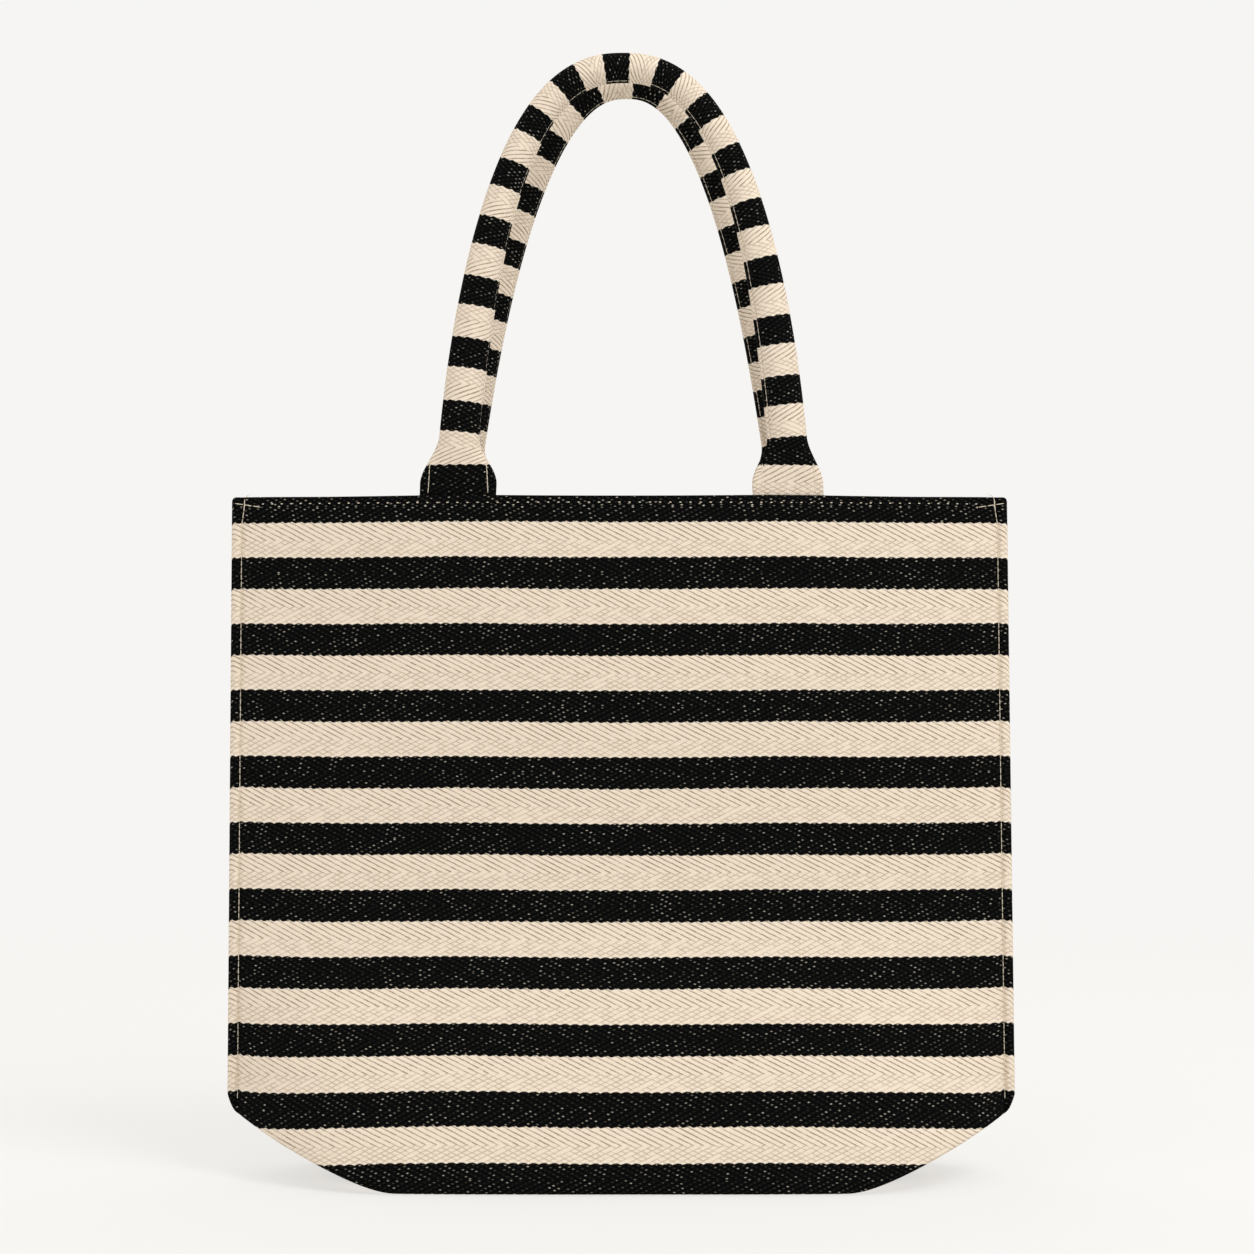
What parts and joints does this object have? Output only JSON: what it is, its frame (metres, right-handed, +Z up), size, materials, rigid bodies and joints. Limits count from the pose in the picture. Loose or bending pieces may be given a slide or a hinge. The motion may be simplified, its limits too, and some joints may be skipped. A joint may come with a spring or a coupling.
{
  "type": "canvas tote bag",
  "caption": "Open-topped striped canvas tote with folded side seams, boxed lower corners, a faced hem and rolled handles with a cord core that fold down over the rim.",
  "frame": {"origin": "on the floor, under the middle of the base", "axes": "+X to the right along the width as seen from the front, +Y to the back, +Z up; the front panel faces -Y"},
  "size_m": [0.421, 0.1038, 0.5954],
  "materials": {
    "striped_canvas": "heavy herringbone cotton canvas, black and cream stripes, matt",
    "facing_canvas": "plain cream cotton canvas, matt",
    "cotton_tape": "cream cotton binding tape, matt",
    "cotton_thread": "cream cotton sewing thread, soft sheen",
    "cotton_cord": "undyed twisted cotton cord"
  },
  "bodies": {
    "bag": {"front_panel": "striped_canvas", "back_panel": "striped_canvas", "left_seam_allowance": "striped_canvas", "right_seam_allowance": "striped_canvas", "front_hem_facing": "facing_canvas", "back_hem_facing": "facing_canvas", "base_seam_binding": "cotton_tape", "left_corner_binding": "cotton_tape", "right_corner_binding": "cotton_tape", "left_side_stitching": "cotton_thread", "right_side_stitching": "cotton_thread", "front_rim_stitching": "cotton_thread", "back_rim_stitching": "cotton_thread", "front_hem_stitching": "cotton_thread", "back_hem_stitching": "cotton_thread", "front_handle_ends": "striped_canvas", "back_handle_ends": "striped_canvas", "front_tack_stitching": "cotton_thread", "back_tack_stitching": "cotton_thread"},
    "front_handle": {"front_handle_cover": "striped_canvas", "front_handle_cord": "cotton_cord", "front_handle_seam_stitching": "cotton_thread", "front_foot_stitching": "cotton_thread"},
    "back_handle": {"back_handle_cover": "striped_canvas", "back_handle_cord": "cotton_cord", "back_handle_seam_stitching": "cotton_thread", "back_foot_stitching": "cotton_thread"}
  },
  "joints": [
    {"name": "front_handle_fold", "type": "hinge", "parent": "bag", "child": "front_handle", "pos_m": [0, -0.0305, 0.3645], "axis": [1, 0, 0], "range_deg": [-3, 176]},
    {"name": "back_handle_fold", "type": "hinge", "parent": "bag", "child": "back_handle", "pos_m": [0, 0.0305, 0.3645], "axis": [-1, 0, 0], "range_deg": [-3, 176]}
  ]
}
